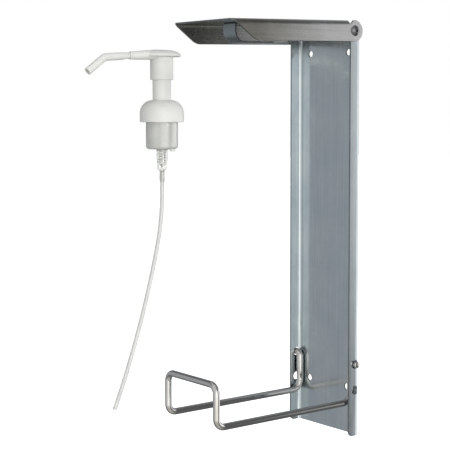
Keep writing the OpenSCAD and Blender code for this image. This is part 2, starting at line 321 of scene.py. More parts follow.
def sheet_piece(bm, outline, holes, stations, place):
    """A flat blank with rounded cut edges, folded by place(along, across, depth)."""
    steps = 3
    edge = CUT_EDGE
    layers = []
    for k in range(steps + 1):
        turn = math.pi / 2 * k / steps
        layers.append((edge * (1 - math.sin(turn)), edge * (1 - math.cos(turn))))
    layers += [(shift, SHEET - depth) for shift, depth in reversed(layers)]
    first, last = [], []
    for loop in [outline] + holes:
        rings = []
        for shift, depth in layers:
            rings.append(add_ring(bm, [(p.x, p.y, depth) for p in inset(loop, shift)]))
        before = len(bm.faces)
        join_rings(bm, rings)
        bm.faces.ensure_lookup_table()
        for face in bm.faces[before:]:
            face.material_index = 1
        for ring, kept in ((rings[0], first), (rings[-1], last)):
            kept.extend(bm.edges.get((ring[i - 1], ring[i])) for i in range(len(ring)))
    bmesh.ops.triangle_fill(bm, edges=first, use_beauty=True)
    bmesh.ops.triangle_fill(bm, edges=last, use_beauty=True)
    for station in stations:
        everything = bm.verts[:] + bm.edges[:] + bm.faces[:]
        bmesh.ops.bisect_plane(bm, geom=everything, dist=1e-4, plane_co=(station, 0, 0), plane_no=(1, 0, 0))
    for vert in bm.verts:
        vert.co = place(*vert.co)


def finish_mesh(name, bm, sharp=40):
    """Turns millimetres into metres and makes an object with smooth, true normals."""
    bmesh.ops.recalc_face_normals(bm, faces=bm.faces[:])
    if bm.calc_volume(signed=True) < 0:
        bmesh.ops.reverse_faces(bm, faces=bm.faces[:])
    bmesh.ops.scale(bm, vec=(MM, MM, MM), verts=bm.verts[:])
    mesh = bpy.data.meshes.new(name)
    bm.to_mesh(mesh)
    bm.free()
    mesh.shade_smooth()
    mesh.set_sharp_from_angle(angle=math.radians(sharp))
    piece = bpy.data.objects.new(name, mesh)
    bpy.context.scene.collection.objects.link(piece)
    return piece


def weigh_normals(piece):
    """Lets large flat faces keep their own normal next to small roundings."""
    weigh = piece.modifiers.new("weighted_normals", "WEIGHTED_NORMAL")
    weigh.keep_sharp = True
    weigh.weight = 90


def apply_modifiers(piece):
    """Replaces a piece's mesh with its evaluated one."""
    graph = bpy.context.evaluated_depsgraph_get()
    mesh = bpy.data.meshes.new_from_object(piece.evaluated_get(graph))
    piece.modifiers.clear()
    piece.data = mesh


def dress(piece, body, node, slot, edge_look=None):
    """Rides the piece, hides the CAD node that it stands for and gives its finish."""
    piece.data.materials.append(LOOKS[slot])
    if edge_look:
        piece.data.materials.append(edge_look)
    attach(piece, body)
    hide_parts(node)


# ---- Materials ---------------------------------------------------------------

class Look:
    """A Principled material and the nodes that feed it."""

    def __init__(self, name):
        """An empty material whose patterns are placed in the object's coordinates."""
        self.material = bpy.data.materials.new(name)
        self.material.use_nodes = True
        self.tree = self.material.node_tree
        self.shader = self.tree.nodes["Principled BSDF"]
        self.place = self.add("ShaderNodeTexCoord").outputs["Object"]

    def add(self, kind, **settings):
        """A new node with its properties or input values set."""
        node = self.tree.nodes.new(kind)
        for key, value in settings.items():
            if hasattr(node, key):
                setattr(node, key, value)
            else:
                node.inputs[key.replace("_", " ")].default_value = value
        return node

    def link(self, source, target):
        """Joins an output to an input."""
        self.tree.links.new(source, target)

    def set(self, **values):
        """Sets constant values on the shader's own sockets."""
        for key, value in values.items():
            self.shader.inputs[key.replace("_", " ")].default_value = value

    def noise(self, scale, stretch=(1, 1, 1), detail=3.0, roughness=0.5):
        """A noise pattern in the object's own coordinates, scaled per metre."""
        mapping = self.add("ShaderNodeMapping")
        mapping.inputs["Scale"].default_value = [scale * s for s in stretch]
        self.link(self.place, mapping.inputs["Vector"])
        noise = self.add("ShaderNodeTexNoise", Scale=1.0, Detail=detail, Roughness=roughness)
        self.link(mapping.outputs["Vector"], noise.inputs["Vector"])
        return noise.outputs["Fac"]

    def spread(self, source, low, high, start=0.3, end=0.7):
        """Maps a pattern's middle range onto low to high."""
        spread = self.add("ShaderNodeMapRange")
        spread.inputs["From Min"].default_value = start
        spread.inputs["From Max"].default_value = end
        spread.inputs["To Min"].default_value = low
        spread.inputs["To Max"].default_value = high
        self.link(source, spread.inputs["Value"])
        return spread.outputs["Result"]

    def tint(self, source, first, second, start=0.3, end=0.7):
        """A colour between two, chosen by a pattern."""
        ramp = self.add("ShaderNodeValToRGB")
        ramp.color_ramp.elements[0].position = start
        ramp.color_ramp.elements[0].color = (*first, 1)
        ramp.color_ramp.elements[1].position = end
        ramp.color_ramp.elements[1].color = (*second, 1)
        self.link(source, ramp.inputs["Fac"])
        return ramp.outputs["Color"]

    def multiply(self, first, second):
        """Multiplies two colours."""
        node = self.add("ShaderNodeMix")
        node.data_type = "RGBA"
        node.blend_type = "MULTIPLY"
        node.inputs["Factor"].default_value = 1.0
        self.link(first, node.inputs["A"])
        self.link(second, node.inputs["B"])
        return node.outputs["Result"]

    def colour(self, source):
        """Feeds the base colour."""
        self.link(source, self.shader.inputs["Base Color"])

    def rough(self, source):
        """Feeds the roughness."""
        self.link(source, self.shader.inputs["Roughness"])

    def bump(self, *layers):
        """Adds bumps one over another; each layer is (pattern, height in metres)."""
        last = None
        for pattern, height in layers:
            bump = self.add("ShaderNodeBump", Strength=1.0, Distance=height)
            self.link(pattern, bump.inputs["Height"])
            if last is not None:
                self.link(last.outputs["Normal"], bump.inputs["Normal"])
            last = bump
        self.link(last.outputs["Normal"], self.shader.inputs["Normal"])


# The lever's stretch of painted shade, darker and warmer towards its front: its front and rear, as places along Y
# in metres
PAINTED_SHADE_SPAN = (-0.125, -0.045)

# Below this height in metres the pump's housing is clearer, over a short fade
HOUSING_FLOOR_Z = (PUMP.z - 27) * MM
FLOOR_FADE = 0.002


def brushed_steel(name, dark, light, stretch, rough, grain=2600, streak=2e-6, painted_front_shade=None):
    """Stainless steel with a fine grain; the last argument is a painted shade, a darker warm tint that grows
    towards the front.
    """
    look = Look(name)
    look.set(Metallic=1.0)
    grain_noise = look.noise(grain, stretch, detail=2.0)
    streaks = look.noise(grain / 5, stretch, detail=3.0)
    clouds = look.noise(26, detail=4.0, roughness=0.6)
    base = look.tint(clouds, dark, light)
    fine = look.tint(streaks, (0.9, 0.9, 0.9), (1.0, 1.0, 1.0))
    colour = look.multiply(base, fine)
    # Painted shade: a darker warm tint that grows towards the lever's front
    if painted_front_shade:
        apart = look.add("ShaderNodeSeparateXYZ")
        look.link(look.place, apart.inputs[0])
        fade = look.spread(apart.outputs["Y"], 0, 1, *PAINTED_SHADE_SPAN)
        colour = look.multiply(colour, look.tint(fade, painted_front_shade, (1, 1, 1), 0, 1))
    look.colour(colour)
    smudge = look.noise(70, detail=5.0, roughness=0.65)
    spots = look.add("ShaderNodeMath", operation="ADD")
    look.link(look.spread(smudge, rough - 0.05, rough + 0.05), spots.inputs[0])
    look.link(look.spread(streaks, -0.02, 0.03), spots.inputs[1])
    look.rough(spots.outputs["Value"])
    look.bump((grain_noise, streak), (streaks, streak * 1.5))
    return look.material


def moulded(name, dark, light, rough, soft=0.0, speck=900, height=1.5e-6):
    """Injection moulded plastic with a faint skin texture and mottling."""
    look = Look(name)
    look.set(IOR=1.49)
    if soft > 0:
        look.set(Subsurface_Weight=soft, Subsurface_Scale=0.002, Subsurface_Radius=(1.0, 1.0, 1.0))
    clouds = look.noise(60, detail=4.0, roughness=0.6)
    look.colour(look.tint(clouds, dark, light))
    skin = look.noise(speck, detail=3.0)
    look.rough(look.spread(skin, rough - 0.04, rough + 0.06))
    look.bump((skin, height))
    return look.material


def clear_plastic(name, dark, light, rough, low_rough, passing, low_passing, flow):
    """Translucent plastic with faint flow lines, clearer below the housing's floor."""
    look = Look(name)
    look.set(IOR=1.45, Coat_Weight=1.0, Coat_IOR=1.9, Coat_Roughness=0.12)
    clouds = look.noise(90, detail=4.0)
    look.colour(look.tint(clouds, dark, light))
    lines = look.noise(flow, (1, 1, 0.4), detail=3.0)
    height = look.add("ShaderNodeSeparateXYZ")
    look.link(look.place, height.inputs[0])
    fade = (HOUSING_FLOOR_Z - FLOOR_FADE, HOUSING_FLOOR_Z)
    haze = look.spread(height.outputs["Z"], low_rough, rough, *fade)
    clarity = look.spread(height.outputs["Z"], low_passing, passing, *fade)
    look.link(clarity, look.shader.inputs["Transmission Weight"])
    total = look.add("ShaderNodeMath", operation="ADD")
    look.link(haze, total.inputs[0])
    look.link(look.spread(lines, -0.02, 0.02), total.inputs[1])
    look.rough(total.outputs["Value"])
    look.bump((lines, 1e-6))
    return look.material


def woven(name, thread, gap, pitch):
    """A fine square mesh of threads."""
    look = Look(name)
    look.set(Roughness=0.5)
    waves = []
    for direction in ("X", "Y"):
        wave = look.add("ShaderNodeTexWave", Scale=pitch, bands_direction=direction)
        look.link(look.place, wave.inputs["Vector"])
        waves.append(wave.outputs["Fac"])
    both = look.add("ShaderNodeMath", operation="MAXIMUM")
    look.link(waves[0], both.inputs[0])
    look.link(waves[1], both.inputs[1])
    look.colour(look.tint(both.outputs["Value"], gap, thread, 0.5, 0.75))
    look.bump((both.outputs["Value"], 6e-5))
    return look.material


def make_looks():
    """One material for each of the record's slots."""
    along_z = (1, 1, 0.02)
    along_y = (1, 0.02, 1)
    return {
        "brushed_sheet": brushed_steel(
            "stainless_sheet", (0.47, 0.52, 0.55), (0.55, 0.59, 0.61), along_z, 0.16),
        "lever_sheet": brushed_steel(
            "stainless_lever", (0.56, 0.56, 0.55), (0.62, 0.63, 0.63), along_y, 0.24,
            # Painted shade: the lever gets darker and warmer towards its front
            painted_front_shade=(0.60, 0.57, 0.52)),
        "strap_steel": brushed_steel(
            "stainless_strap", (0.28, 0.32, 0.34), (0.33, 0.37, 0.39), along_z, 0.3),
        # Painted shade: the screws' steel is made darker to stand for the shadow around their heads
        "screw_steel": brushed_steel(
            "screw_steel", (0.17, 0.17, 0.18), (0.26, 0.26, 0.27), (1, 1, 1), 0.3, 1500, 8e-6),
        "nut_steel": brushed_steel(
            "nut_steel", (0.45, 0.45, 0.46), (0.58, 0.58, 0.58), (1, 1, 1), 0.3, 1500, 8e-6),
        "washer_nylon": moulded("washer_nylon", (0.70, 0.70, 0.66), (0.78, 0.78, 0.74), 0.45),
        "polished_wire": brushed_steel(
            "polished_wire", (0.58, 0.56, 0.54), (0.66, 0.65, 0.64), (1, 0.05, 1), 0.08, 1800, 1e-6),
        "white_pp": moulded(
            "white_polypropylene", (0.76, 0.76, 0.74), (0.81, 0.81, 0.79), 0.38, 0.15),
        "soft_pe": moulded("soft_polyethylene", (0.70, 0.73, 0.73), (0.78, 0.80, 0.80), 0.42, 0.1),
        "mesh_nylon": woven("nylon_mesh", (0.75, 0.77, 0.78), (0.25, 0.26, 0.27), 1600),
        "clear_pp": clear_plastic(
            "natural_polypropylene", (0.80, 0.81, 0.78), (0.86, 0.87, 0.84), 0.32, 0.03, 0.6, 0.97, 700),
        "clear_pe": clear_plastic(
            "natural_polyethylene", (0.84, 0.85, 0.83), (0.9, 0.9, 0.88), 0.3, 0.3, 0.45, 0.45, 900),
        "gasket_foam": moulded("gasket_foam", (0.62, 0.64, 0.62), (0.72, 0.74, 0.72), 0.8, 0, 2500, 6e-5),
        "spring_steel": brushed_steel(
            "spring_steel", (0.42, 0.42, 0.43), (0.55, 0.55, 0.55), (1, 1, 1), 0.22, 3000, 2e-6),
        "ball_steel": brushed_steel(
            "ball_steel", (0.30, 0.30, 0.31), (0.38, 0.38, 0.39), (1, 1, 1), 0.15, 3000, 1e-6),
    }


# ---- Bracket and lever -------------------------------------------------------

def wall_bracket():
    """The folded channel with its ears, wall holes and wire holes."""
    low, high = node_box("wall_bracket")
    half = high.x
    flange = 13.0
    corner = 4.5
    plate_drop = 5
    swell_drop, root_drop, ear_rounding = 3, 9, 2
    ear_front = -low.y
    ear = ear_front + LEVER_PIVOT.y
    ear_back = -LEVER_PIVOT.y - ear
    plate_top = LEVER_PIVOT.z - plate_drop
    bottom = low.z
    flat = half - BEND
    arc_length = BEND * math.pi / 2
    long_flange = ear_front - BEND
    fold = Fold((half, -ear_front), 90,
                [(0, long_flange), (BEND, 90), (0, 2 * flat), (BEND, 90), (0, long_flange)])

    def unfold(depth):
        """Place along the sheet of a point at a distance from the wall."""
        if depth >= BEND:
            return flat + arc_length + depth - BEND
        return flat + BEND * math.acos(1 - depth / BEND)

    side = [(ear_front, LEVER_PIVOT.z), (ear_front, LEVER_PIVOT.z - swell_drop),
            (flange, LEVER_PIVOT.z - root_drop)]
    side = [(d, z) for d, z in rounded(side, [0, ear_rounding, ear_rounding], closed=False)]
    side += arc((flange - corner, bottom + corner), corner, 0, -90, 8)
    ear_top = arc((-LEVER_PIVOT.y, LEVER_PIVOT.z), ear, 180, 0, 24)
    rise = []
    for k in range(8):
        depth = ear_back * (1 - math.cos(math.pi / 2 * k / 8))
        rise.append((depth, plate_top + (LEVER_PIVOT.z - plate_top) * depth / ear_back))
    edge = [(unfold(d), z) for d, z in rise + ear_top[:-1] + side]
    outline = [(-s, z) for s, z in edge] + [(s, z) for s, z in reversed(edge)]
    sizes = mount_sizes("wall_screw_holes")
    holes = []
    for x in (-1, 1):
        for z in (-1, 1):
            centre = (x * sizes["spacing_x_mm"] / 2, z * sizes["spacing_y_mm"] / 2)
            holes.append(circle(centre, sizes["hole_r_mm"])[::-1])
        for z in (WIRE_PIVOT.z, -sizes["spacing_y_mm"] / 2):
            loop = circle((-WIRE_PIVOT.y, z), WIRE_HOLE)
            holes.append([(unfold(d), z) for d, z in loop[::-1]])
        loop = circle((-LEVER_PIVOT.y, LEVER_PIVOT.z), PIVOT_HOLE, 36)
        holes.append([(unfold(d), z) for d, z in loop[::-1]])
        if x < 0:
            holes[-3:] = [[(-s, z) for s, z in loop[::-1]] for loop in holes[-3:]]

    def place(along, across, depth):
        """A point of the blank in the folded channel."""
        point = fold.at(along, depth)
        return Vector((point.x, point.y, across))

    bm = bmesh.new()
    sheet_piece(bm, outline, holes, fold.stations, place)
    piece = finish_mesh("folded_bracket", bm)
    weigh_normals(piece)
    dress(piece, "bracket", "wall_bracket", "brushed_sheet", CUT_LOOK)


def from_lever(x, forward, up):
    """A point given from the lever's pivot, in the row frame."""
    lean, rise = math.cos(LEVER_SLOPE), math.sin(LEVER_SLOPE)
    return LEVER_PIVOT + Vector((x, -forward * lean - up * rise, -forward * rise + up * lean))


def lever_arm():
    """The folded press lever: a top plate, two walls and round rear ears."""
    out = node_box("lever_arm")[1].x
    flat = out - BEND
    arc_length = BEND * math.pi / 2
    wall = 2 * LEVER_HALF - BEND
    reach = 138.5
    plate_start = 6.0
    nose_low = 109.0
    nose_mid = Vector((118, -6.6))
    nose_top = Vector((137, 8))
    ear_limit = 5.5
    ear_top = 1.69
    notch_up, notch_low, notch_back = 6.8, 6.0, 5.0
    nose_rise, nose_end = 5.6, -53.6
    fold = Fold((out, -LEVER_HALF), 90, [(0, wall), (BEND, 90), (0, 2 * flat), (BEND, 90), (0, wall)])

    def unfold(up, bent=True):
        """Place along the sheet of a point at a height on the wall."""
        depth = LEVER_HALF - up
        if depth >= BEND or not bent:
            return flat + arc_length + depth - BEND
        return flat + BEND * math.acos(1 - depth / BEND)

    ear = [(ear_top, LEVER_HALF)] + arc((0, 0), LEVER_HALF, 90, 270, 40)
    nose = arc((nose_low, nose_rise), LEVER_HALF + nose_rise, -90, nose_end, 10)
    slope = (nose_top.x - nose_mid.x) / (nose_top.y - nose_mid.y)
    front = []
    for k in range(9):
        up = LEVER_HALF - BEND + BEND * math.sin(math.pi / 2 * k / 8)
        forward = nose_mid.x + (up - nose_mid.y) * slope
        if up > nose_top.y:
            forward = nose_top.x + (up - nose_top.y) * (reach - nose_top.x) / (LEVER_HALF - nose_top.y)
        front.append((unfold(up), forward))
    edge = [(flat, plate_start), (unfold(notch_up), plate_start), (unfold(notch_low), notch_back)]
    edge += [(unfold(up, bent=False), forward) for forward, up in ear]
    edge += [(unfold(up), forward) for forward, up in nose] + front
    outline = edge + [(-s, u) for s, u in reversed(edge)]
    area = sum(a[0] * b[1] - b[0] * a[1] for a, b in zip(outline, outline[1:] + outline[:1]))
    if area < 0:
        outline = outline[::-1]
    centre = unfold(0)
    holes = [circle((x * centre, 0), PIVOT_HOLE, 36)[::-1] for x in (-1, 1)]

    def place(along, across, depth):
        """A point of the blank in the folded lever; the round ears stay flat."""
        if across < ear_limit and abs(along) < flat + arc_length:
            up = LEVER_HALF - (abs(along) - flat - arc_length + BEND)
            return from_lever(math.copysign(out - depth, -along), across, up)
        point = fold.at(along, depth)
        return from_lever(point.x, across, point.y)

    bm = bmesh.new()
    sheet_piece(bm, outline, holes, fold.stations, place)
    piece = finish_mesh("folded_lever", bm)
    weigh_normals(piece)
    dress(piece, "lever", "lever_arm", "lever_sheet", CUT_LOOK)


def pusher_strap():
    """The J-shaped strip under the lever that presses the pump head."""
    half = node_box("pusher_strap")[1].x
    front = 109.5
    back = 64.0
    bottom = -10.0
    big = 10.5
    ceiling = LEVER_HALF - SHEET
    leg = ceiling - SHEET - (bottom + big)
    foot = 14.5
    deepest = SHEET - 0.001
    fold = Fold((back, bottom), 0,
                [(0, front - big - back), (big, 90), (0, leg), (SHEET, 90), (0, foot)], steps=14)
    corners = [(-fold.half, -half), (fold.half, -half), (fold.half, half), (-fold.half, half)]
    outline = rounded(corners, 2.0)

    def place(along, across, depth):
        """A point of the strip; its inner face stops short of the tight bend's centre."""
        point = fold.at(along, min(depth, deepest))
        return from_lever(across, point.x, point.y)

    bm = bmesh.new()
    sheet_piece(bm, outline, [], fold.stations, place)
    piece = finish_mesh("bent_strap", bm)
    weigh_normals(piece)
    dress(piece, "lever", "pusher_strap", "strap_steel", CUT_LOOK)


def pivot_screws():
    """Two button head screws with a hexagon socket."""
    head = 4.75
    dome = 5.8
    head_height = 2.75
    seat = node_box("pivot_screws")[1].x - head_height + 0.15
    shank = 2.5
    nut_and_tip = 5
    length = seat - (node_box("wall_bracket")[1].x - SHEET - nut_and_tip)
    socket = 1.73
    sides = 48

    def crown(radius):
        """Height of the domed head over its seat, at a distance from its axis."""
        return head_height - dome + math.sqrt(dome ** 2 - radius ** 2)

    def hexagon(turn):
        """Share of the socket's corner radius at an angle."""
        return math.cos(math.pi / 6) / math.cos(turn % (math.pi / 3) - math.pi / 6)

    # Each section is (radius, height over the seat, 1 for a hexagon or 0 for a circle)
    sections = [(0.02, 0.75, 0), (socket, 1.05, 1), (socket, crown(socket) - 0.12, 1),
                (socket + 0.16, crown(socket + 0.16), 1)]
    sections += [(r, crown(r), 0) for r in (2.2, 2.8, 3.4, 3.9, 4.3)]
    sections += [(head - 0.12, crown(head) + 0.06, 0), (head, crown(head) - 0.14, 0), (head, 0.15, 0),
                 (head - 0.15, 0, 0), (shank + 0.2, 0, 0), (shank, -0.2, 0)]
    sections += [(shank, 0.6 - length, 0), (shank - 0.5, -length, 0), (0.02, -length, 0)]
    bm = bmesh.new()
    for side in (-1, 1):
        rings = []
        for radius, height, hexed in sections:
            ring = []
            for k in range(sides):
                turn = 2 * math.pi * k / sides
                reach = radius * (hexagon(turn) if hexed else 1)
                across = Vector((side * (seat + height), reach * math.cos(turn), reach * math.sin(turn)))
                ring.append(across + Vector((0, LEVER_PIVOT.y, LEVER_PIVOT.z)))
            rings.append(add_ring(bm, ring))
        cap_ends(bm, rings)
    piece = finish_mesh("button_screws", bm, sharp=30)
    weigh_normals(piece)
    dress(piece, "bracket", "pivot_screws", "screw_steel")


# ---- Bottle holder -----------------------------------------------------------

def wire_holder():
    """One bent wire: two pivot ends, two arms and a raised front loop."""
    low, high = node_box("wire_holder")
    radius = 3.0
    arm = 35.5
    front = low.y + radius
    arm_z = low.z + radius
    bar_z = high.z - radius
    half = [(high.x, WIRE_PIVOT.y, WIRE_PIVOT.z), (arm, WIRE_PIVOT.y, WIRE_PIVOT.z),
            (arm, WIRE_PIVOT.y, arm_z), (arm, front, arm_z), (arm, front, bar_z)]
    top_bend = node_box("wall_bracket")[1].x - arm - 0.5
    bends = [0, top_bend, 9.0, 8.0, 8.0]
    corners = half + [(-x, y, z) for x, y, z in reversed(half)]
    path = rounded(corners, bends + bends[::-1], steps=16, closed=False)
    path, radii = eased_ends(path, radius, 0.7)
    bm = bmesh.new()
    bar(bm, path, radii, sides=40)
    piece = finish_mesh("bent_wire", bm)
    dress(piece, "holder", "wire_holder", "polished_wire")


# ---- Pump --------------------------------------------------------------------

def in_pump(points):
    """Points given from the collar's lower rim, in the row frame."""
    return [PUMP + Vector(p) for p in points]


def closure_collar():
    """The domed screw closure with its chimney."""
    low, high = node_box("closure_collar")
    collar = (high.x - low.x) / 2
    top = high.z - low.z
    dome = 13.0
    shoulder = 8.8
    chimney, chimney_in = 9.1, 7.6
    thread, bead = 20.2, 19.3
    ceiling = 11.5
    meet = math.degrees(math.acos((chimney - collar + dome) / dome))
    outer = rounded([(thread, 0), (collar, 0), (collar, 4)], [0, 1.2, 0], closed=False)[1:]
    outer += arc((collar - dome, shoulder), dome, 0, meet - 4, 20)
    blend_z = shoulder + dome
    outer += arc((chimney + 0.7, blend_z + 0.62), 0.7, 255, 180, 5)
    outer += rounded([(chimney, 30), (chimney, top), (chimney_in, top), (chimney_in, 30)],
                     [0, 0.45, 0.45, 0], closed=False)
    inner = [(chimney_in, ceiling), (thread, ceiling)]
    for z in (5.4, 2.2):
        inner += [(thread, z + 1.9), (bead, z + 1.1), (bead, z + 0.6), (thread, z)]
    bm = bmesh.new()
    lathe(bm, outer + inner + [(thread, 0.5), (thread + 0.4, 0)], PUMP, 128)
    piece = finish_mesh("domed_collar", bm, 35)
    weigh_normals(piece)
    dress(piece, "collar", "closure_collar", "white_pp")


def ellipse_ring(bm, half_x, half_y, height, sides=72):
    """A level ring in the pump's frame."""
    points = []
    for k in range(sides):
        turn = 2 * math.pi * k / sides
        points.append((half_x * math.cos(turn), half_y * math.sin(turn), height))
    return add_ring(bm, in_pump(points))


def actuator_head():
    """The head plate, skirt and spout, grown together with moulded fillets."""
    long_half, short_half = 21.0, 15.0
    rim, crown, belly = 65.2, 6.1, 1.0
    skirt, skirt_in, skirt_low = 11.4, 9.6, 41.7
    boss, stem = 7.2, 5.65
    neck = 3.9
    spout_sides = 48
    bm = bmesh.new()
    rings = []
    steps = 14
    for k in range(-steps, steps + 1):
        share = math.sin(math.pi / 2 * k / steps)
        if k < 0:
            height, power = rim + belly * share, 3
        else:
            height, power = rim + crown * share, 2
        grow = short_half * (1 - max(1 - abs(share) ** power, 0) ** (1 / power))
        grow = min(grow, short_half - 0.3)
        rings.append(ellipse_ring(bm, short_half - grow, long_half - grow, height))
    cap_ends(bm, rings)
    # Each section of the spout is (forward, height, half width, half height)
    spout = [(6, 66.2, 8.0, 5.2), (11, 66.1, 7.5, 4.9), (17, 65.8, 6.2, 4.75), (24, 65.4, 5.0, 4.5),
             (31, 65.0, 4.35, 4.2), (36.8, 64.8, 3.95, 3.95),
             (NECK_FORWARD - 0.3, NECK_UP, neck - 0.1, neck - 0.1),
             (NECK_FORWARD, NECK_UP, neck - 0.45, neck - 0.45)]
    rings = []
    for forward, height, half_w, half_h in spout:
        points = []
        for k in range(spout_sides):
            turn = 2 * math.pi * k / spout_sides
            points.append((half_w * math.cos(turn), -forward, height + half_h * math.sin(turn)))
        rings.append(add_ring(bm, in_pump(points)))
    cap_ends(bm, rings)
    top = 66.0
    profile = [(0.01, 60), (stem, 60), (stem, 50), (boss, 50), (boss, 61.5), (skirt_in, 61.5),
               (skirt_in, skirt_low), (skirt, skirt_low), (skirt, top), (0.01, top)]
    lathe(bm, profile, PUMP, 96)
    piece = finish_mesh("pump_head", bm, 180)
    remesh = piece.modifiers.new("grow_together", "REMESH")
    remesh.mode = "VOXEL"
    remesh.voxel_size = 0.38 * MM
    smooth = piece.modifiers.new("moulded_fillets", "SMOOTH")
    smooth.factor = 0.5
    smooth.iterations = 5
    apply_modifiers(piece)
    piece.data.shade_smooth()
    dress(piece, "head", "actuator_head", "white_pp")


def from_neck(along, up):
    """A point along the spout's own line from its mouth, in the row frame."""
    forward = along * math.cos(NECK_SLOPE) + up * math.sin(NECK_SLOPE)
    rise = up * math.cos(NECK_SLOPE) - along * math.sin(NECK_SLOPE)
    return PUMP + Vector((0, -NECK_FORWARD - forward, NECK_UP + rise))


def nozzle_extension():
    """The long outlet: a spigot, a tapered run, a bend and a slanting tip."""
    wide, waist, spigot, bore = 3.7, 2.9, 2.25, 1.9
    elbow = 28.3
    tip = 23.6
    turn = math.radians(36.5) - NECK_SLOPE
    corners = [from_neck(-8, 0), from_neck(elbow, 0),
               from_neck(elbow + tip * math.cos(turn), -tip * math.sin(turn))]
    bend = rounded(corners, [0, 7, 0], steps=10, closed=False)
    stops = [(-8, spigot), (0.35, spigot), (0.4, waist - 0.15), (0.6, waist), (3.5, 3.1), (6.5, 3.42),
             (9.4, 3.66), (11.5, wide)]
    path = [from_neck(along, 0) for along, _ in stops]
    radii = [radius for _, radius in stops]
    path += bend[1:-1]
    radii += [wide] * len(bend[1:-1])
    last = (bend[-1] - bend[-2]).normalized()
    for short, drop in ((1.2, 0), (0.35, 0.02), (0.1, 0.12), (0, 0.35)):
        path.append(bend[-1] - last * short)
        radii.append(wide - drop)
    bores = [bore] * (len(path) - 1) + [bore + 0.2]
    bm = bmesh.new()
    tube(bm, path, radii, bores, sides=48)
    piece = finish_mesh("bent_nozzle", bm, 50)
    dress(piece, "head", "nozzle_extension", "white_pp")


def air_cylinder():
    """The translucent housing with its liquid tube, valve seat and tube socket."""
    low, high = node_box("air_cylinder")
    housing = 15.8
    inside = 14.6
    flange = (high.x - low.x) / 2
    top = high.z - PUMP.z
    floor = -26.7
    socket = low.z - PUMP.z
    outer = [(flange, top - 1.6), (housing, top - 1.6), (housing, floor), (5.6, floor), (5.55, floor - 1),
             (5.0, -46.7), (2.9, -48.4), (2.75, socket), (2.22, socket)]
    outer_r = [0.2, 0.5, 3.0, 0.7, 0, 0.8, 0.6, 0.15, 0.1]
    inner = [(2.22, -48.5), (1.2, -48.5), (1.2, -45), (2.5, -43.2), (2.5, -40.2), (4.3, -40.2), (4.3, -12.5),
             (5.5, -12.5), (5.5, floor + 1.3), (inside, floor + 1.3), (inside, top), (flange, top)]
    inner_r = [0, 0, 0, 0, 0, 0, 0.2, 0.2, 0.5, 2.0, 0.2, 0.3]
    bm = bmesh.new()
    lathe(bm, rounded(outer + inner, outer_r + inner_r, 8), PUMP, 128)
    lug_turn = math.radians(52)
    lug = PUMP + Vector((10.3 * math.cos(lug_turn), 10.3 * math.sin(lug_turn), floor))
    path, radii = eased_ends([lug - Vector((0, 0, 2.3)), lug + Vector((0, 0, 0.5))], 2.6, 0.3)
    bar(bm, path, radii)
    piece = finish_mesh("clear_cylinder", bm, 35)
    dress(piece, "pump_body", "air_cylinder", "clear_pp")


def dip_tube():
    """The long curved tube: a straight stretch and two gentle arcs forward."""
    outer, bore = 2.2, 1.5
    top = -48.5
    # Each arc is (radius, turn)
    runs = [(243.0, math.radians(13)), (930.0, math.radians(10.2))]
    straight = 20.2
    angle = 0.0
    path = [Vector((0, 0, top)), Vector((0, 0, top - straight * 0.5)), Vector((0, 0, top - straight))]
    point = path[-1].copy()
    for radius, turn in runs:
        steps = 26
        for _ in range(steps):
            middle = angle + turn / steps / 2
            length = 2 * radius * math.sin(turn / steps / 2)
            point = point + Vector((0, -math.sin(middle), -math.cos(middle))) * length
            angle += turn / steps
            path.append(point.copy())
    bm = bmesh.new()
    path = in_pump(path)
    tube(bm, path, [outer] * len(path), [bore] * len(path), sides=32)
    piece = finish_mesh("curved_tube", bm, 50)
    dress(piece, "pump_body", "dip_tube", "clear_pe")


def return_spring():
    """The helical spring, built at its resting length and standing on its lower end; the real spring shortens as
    the pump is pressed.
    """
    low, high = node_box("return_spring")
    wire = 0.4
    mean = (high.x - low.x) / 2 - wire
    bottom = low.z + wire
    height = high.z - low.z - 2 * wire
    turns = 7
    steps = turns * 36
    path = []
    for k in range(steps + 1):
        share = k / steps
        turn = 2 * math.pi * turns * share
        path.append(Vector((PUMP.x + mean * math.cos(turn), PUMP.y + mean * math.sin(turn),
                            bottom + height * share)))
    bm = bmesh.new()
    path, radii = eased_ends(path, wire, 0.1)
    bar(bm, path, radii, sides=14)
    piece = finish_mesh("spring_coil", bm, 60)
    dress(piece, "pump_body", "return_spring", "spring_steel")
    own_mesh(piece)


# ---- Surroundings ------------------------------------------------------------

def floor():
    """A plain pale floor under the object."""
    half = 6.0
    gap = 0.06
    height = cad_box[0].z - gap
    bm = bmesh.new()
    corners = [(-half, -half, height), (half, -half, height), (half, half, height), (-half, half, height)]
    bm.faces.new(add_ring(bm, corners))
    mesh = bpy.data.meshes.new("floor")
    bm.to_mesh(mesh)
    bm.free()
    plane = bpy.data.objects.new("floor", mesh)
    bpy.context.scene.collection.objects.link(plane)
    look = Look("pale_floor")
    look.set(Roughness=0.9)
    clouds = look.noise(3, detail=3.0)
    look.colour(look.tint(clouds, (0.90, 0.90, 0.90), (0.93, 0.93, 0.93)))
    look.shader.inputs["Emission Color"].default_value = (1, 1, 1, 1)
    look.shader.inputs["Emission Strength"].default_value = 0.8
    mesh.materials.append(look.material)
    plane.visible_glossy = False
    plane.visible_diffuse = False


# Light that comes from everywhere, and the panels: direction, inner and outer
# half angle in degrees, and colour with strength
AMBIENT = (0.14, 0.145, 0.15)
PANELS = [
    ((0.966, -0.259, 0.1), 10, 40, (1.45, 1.44, 1.42)),
    ((0.174, -0.985, 0.1), 15, 50, (0.60, 0.60, 0.60)),
    ((-0.866, -0.50, 0.0), 10, 45, (0.33, 0.35, 0.37)),
    ((0.34, 0.94, 0.0), 18, 34, (1.30, 1.30, 1.28)),
    ((0.2, -0.3, 1.0), 25, 55, (0.50, 0.50, 0.50)),
    ((-0.5, 0.86, 0.2), 20, 55, (0.25, 0.25, 0.26)),
    ((0.6, -0.5, -0.7), 20, 70, (0.50, 0.49, 0.44)),
]


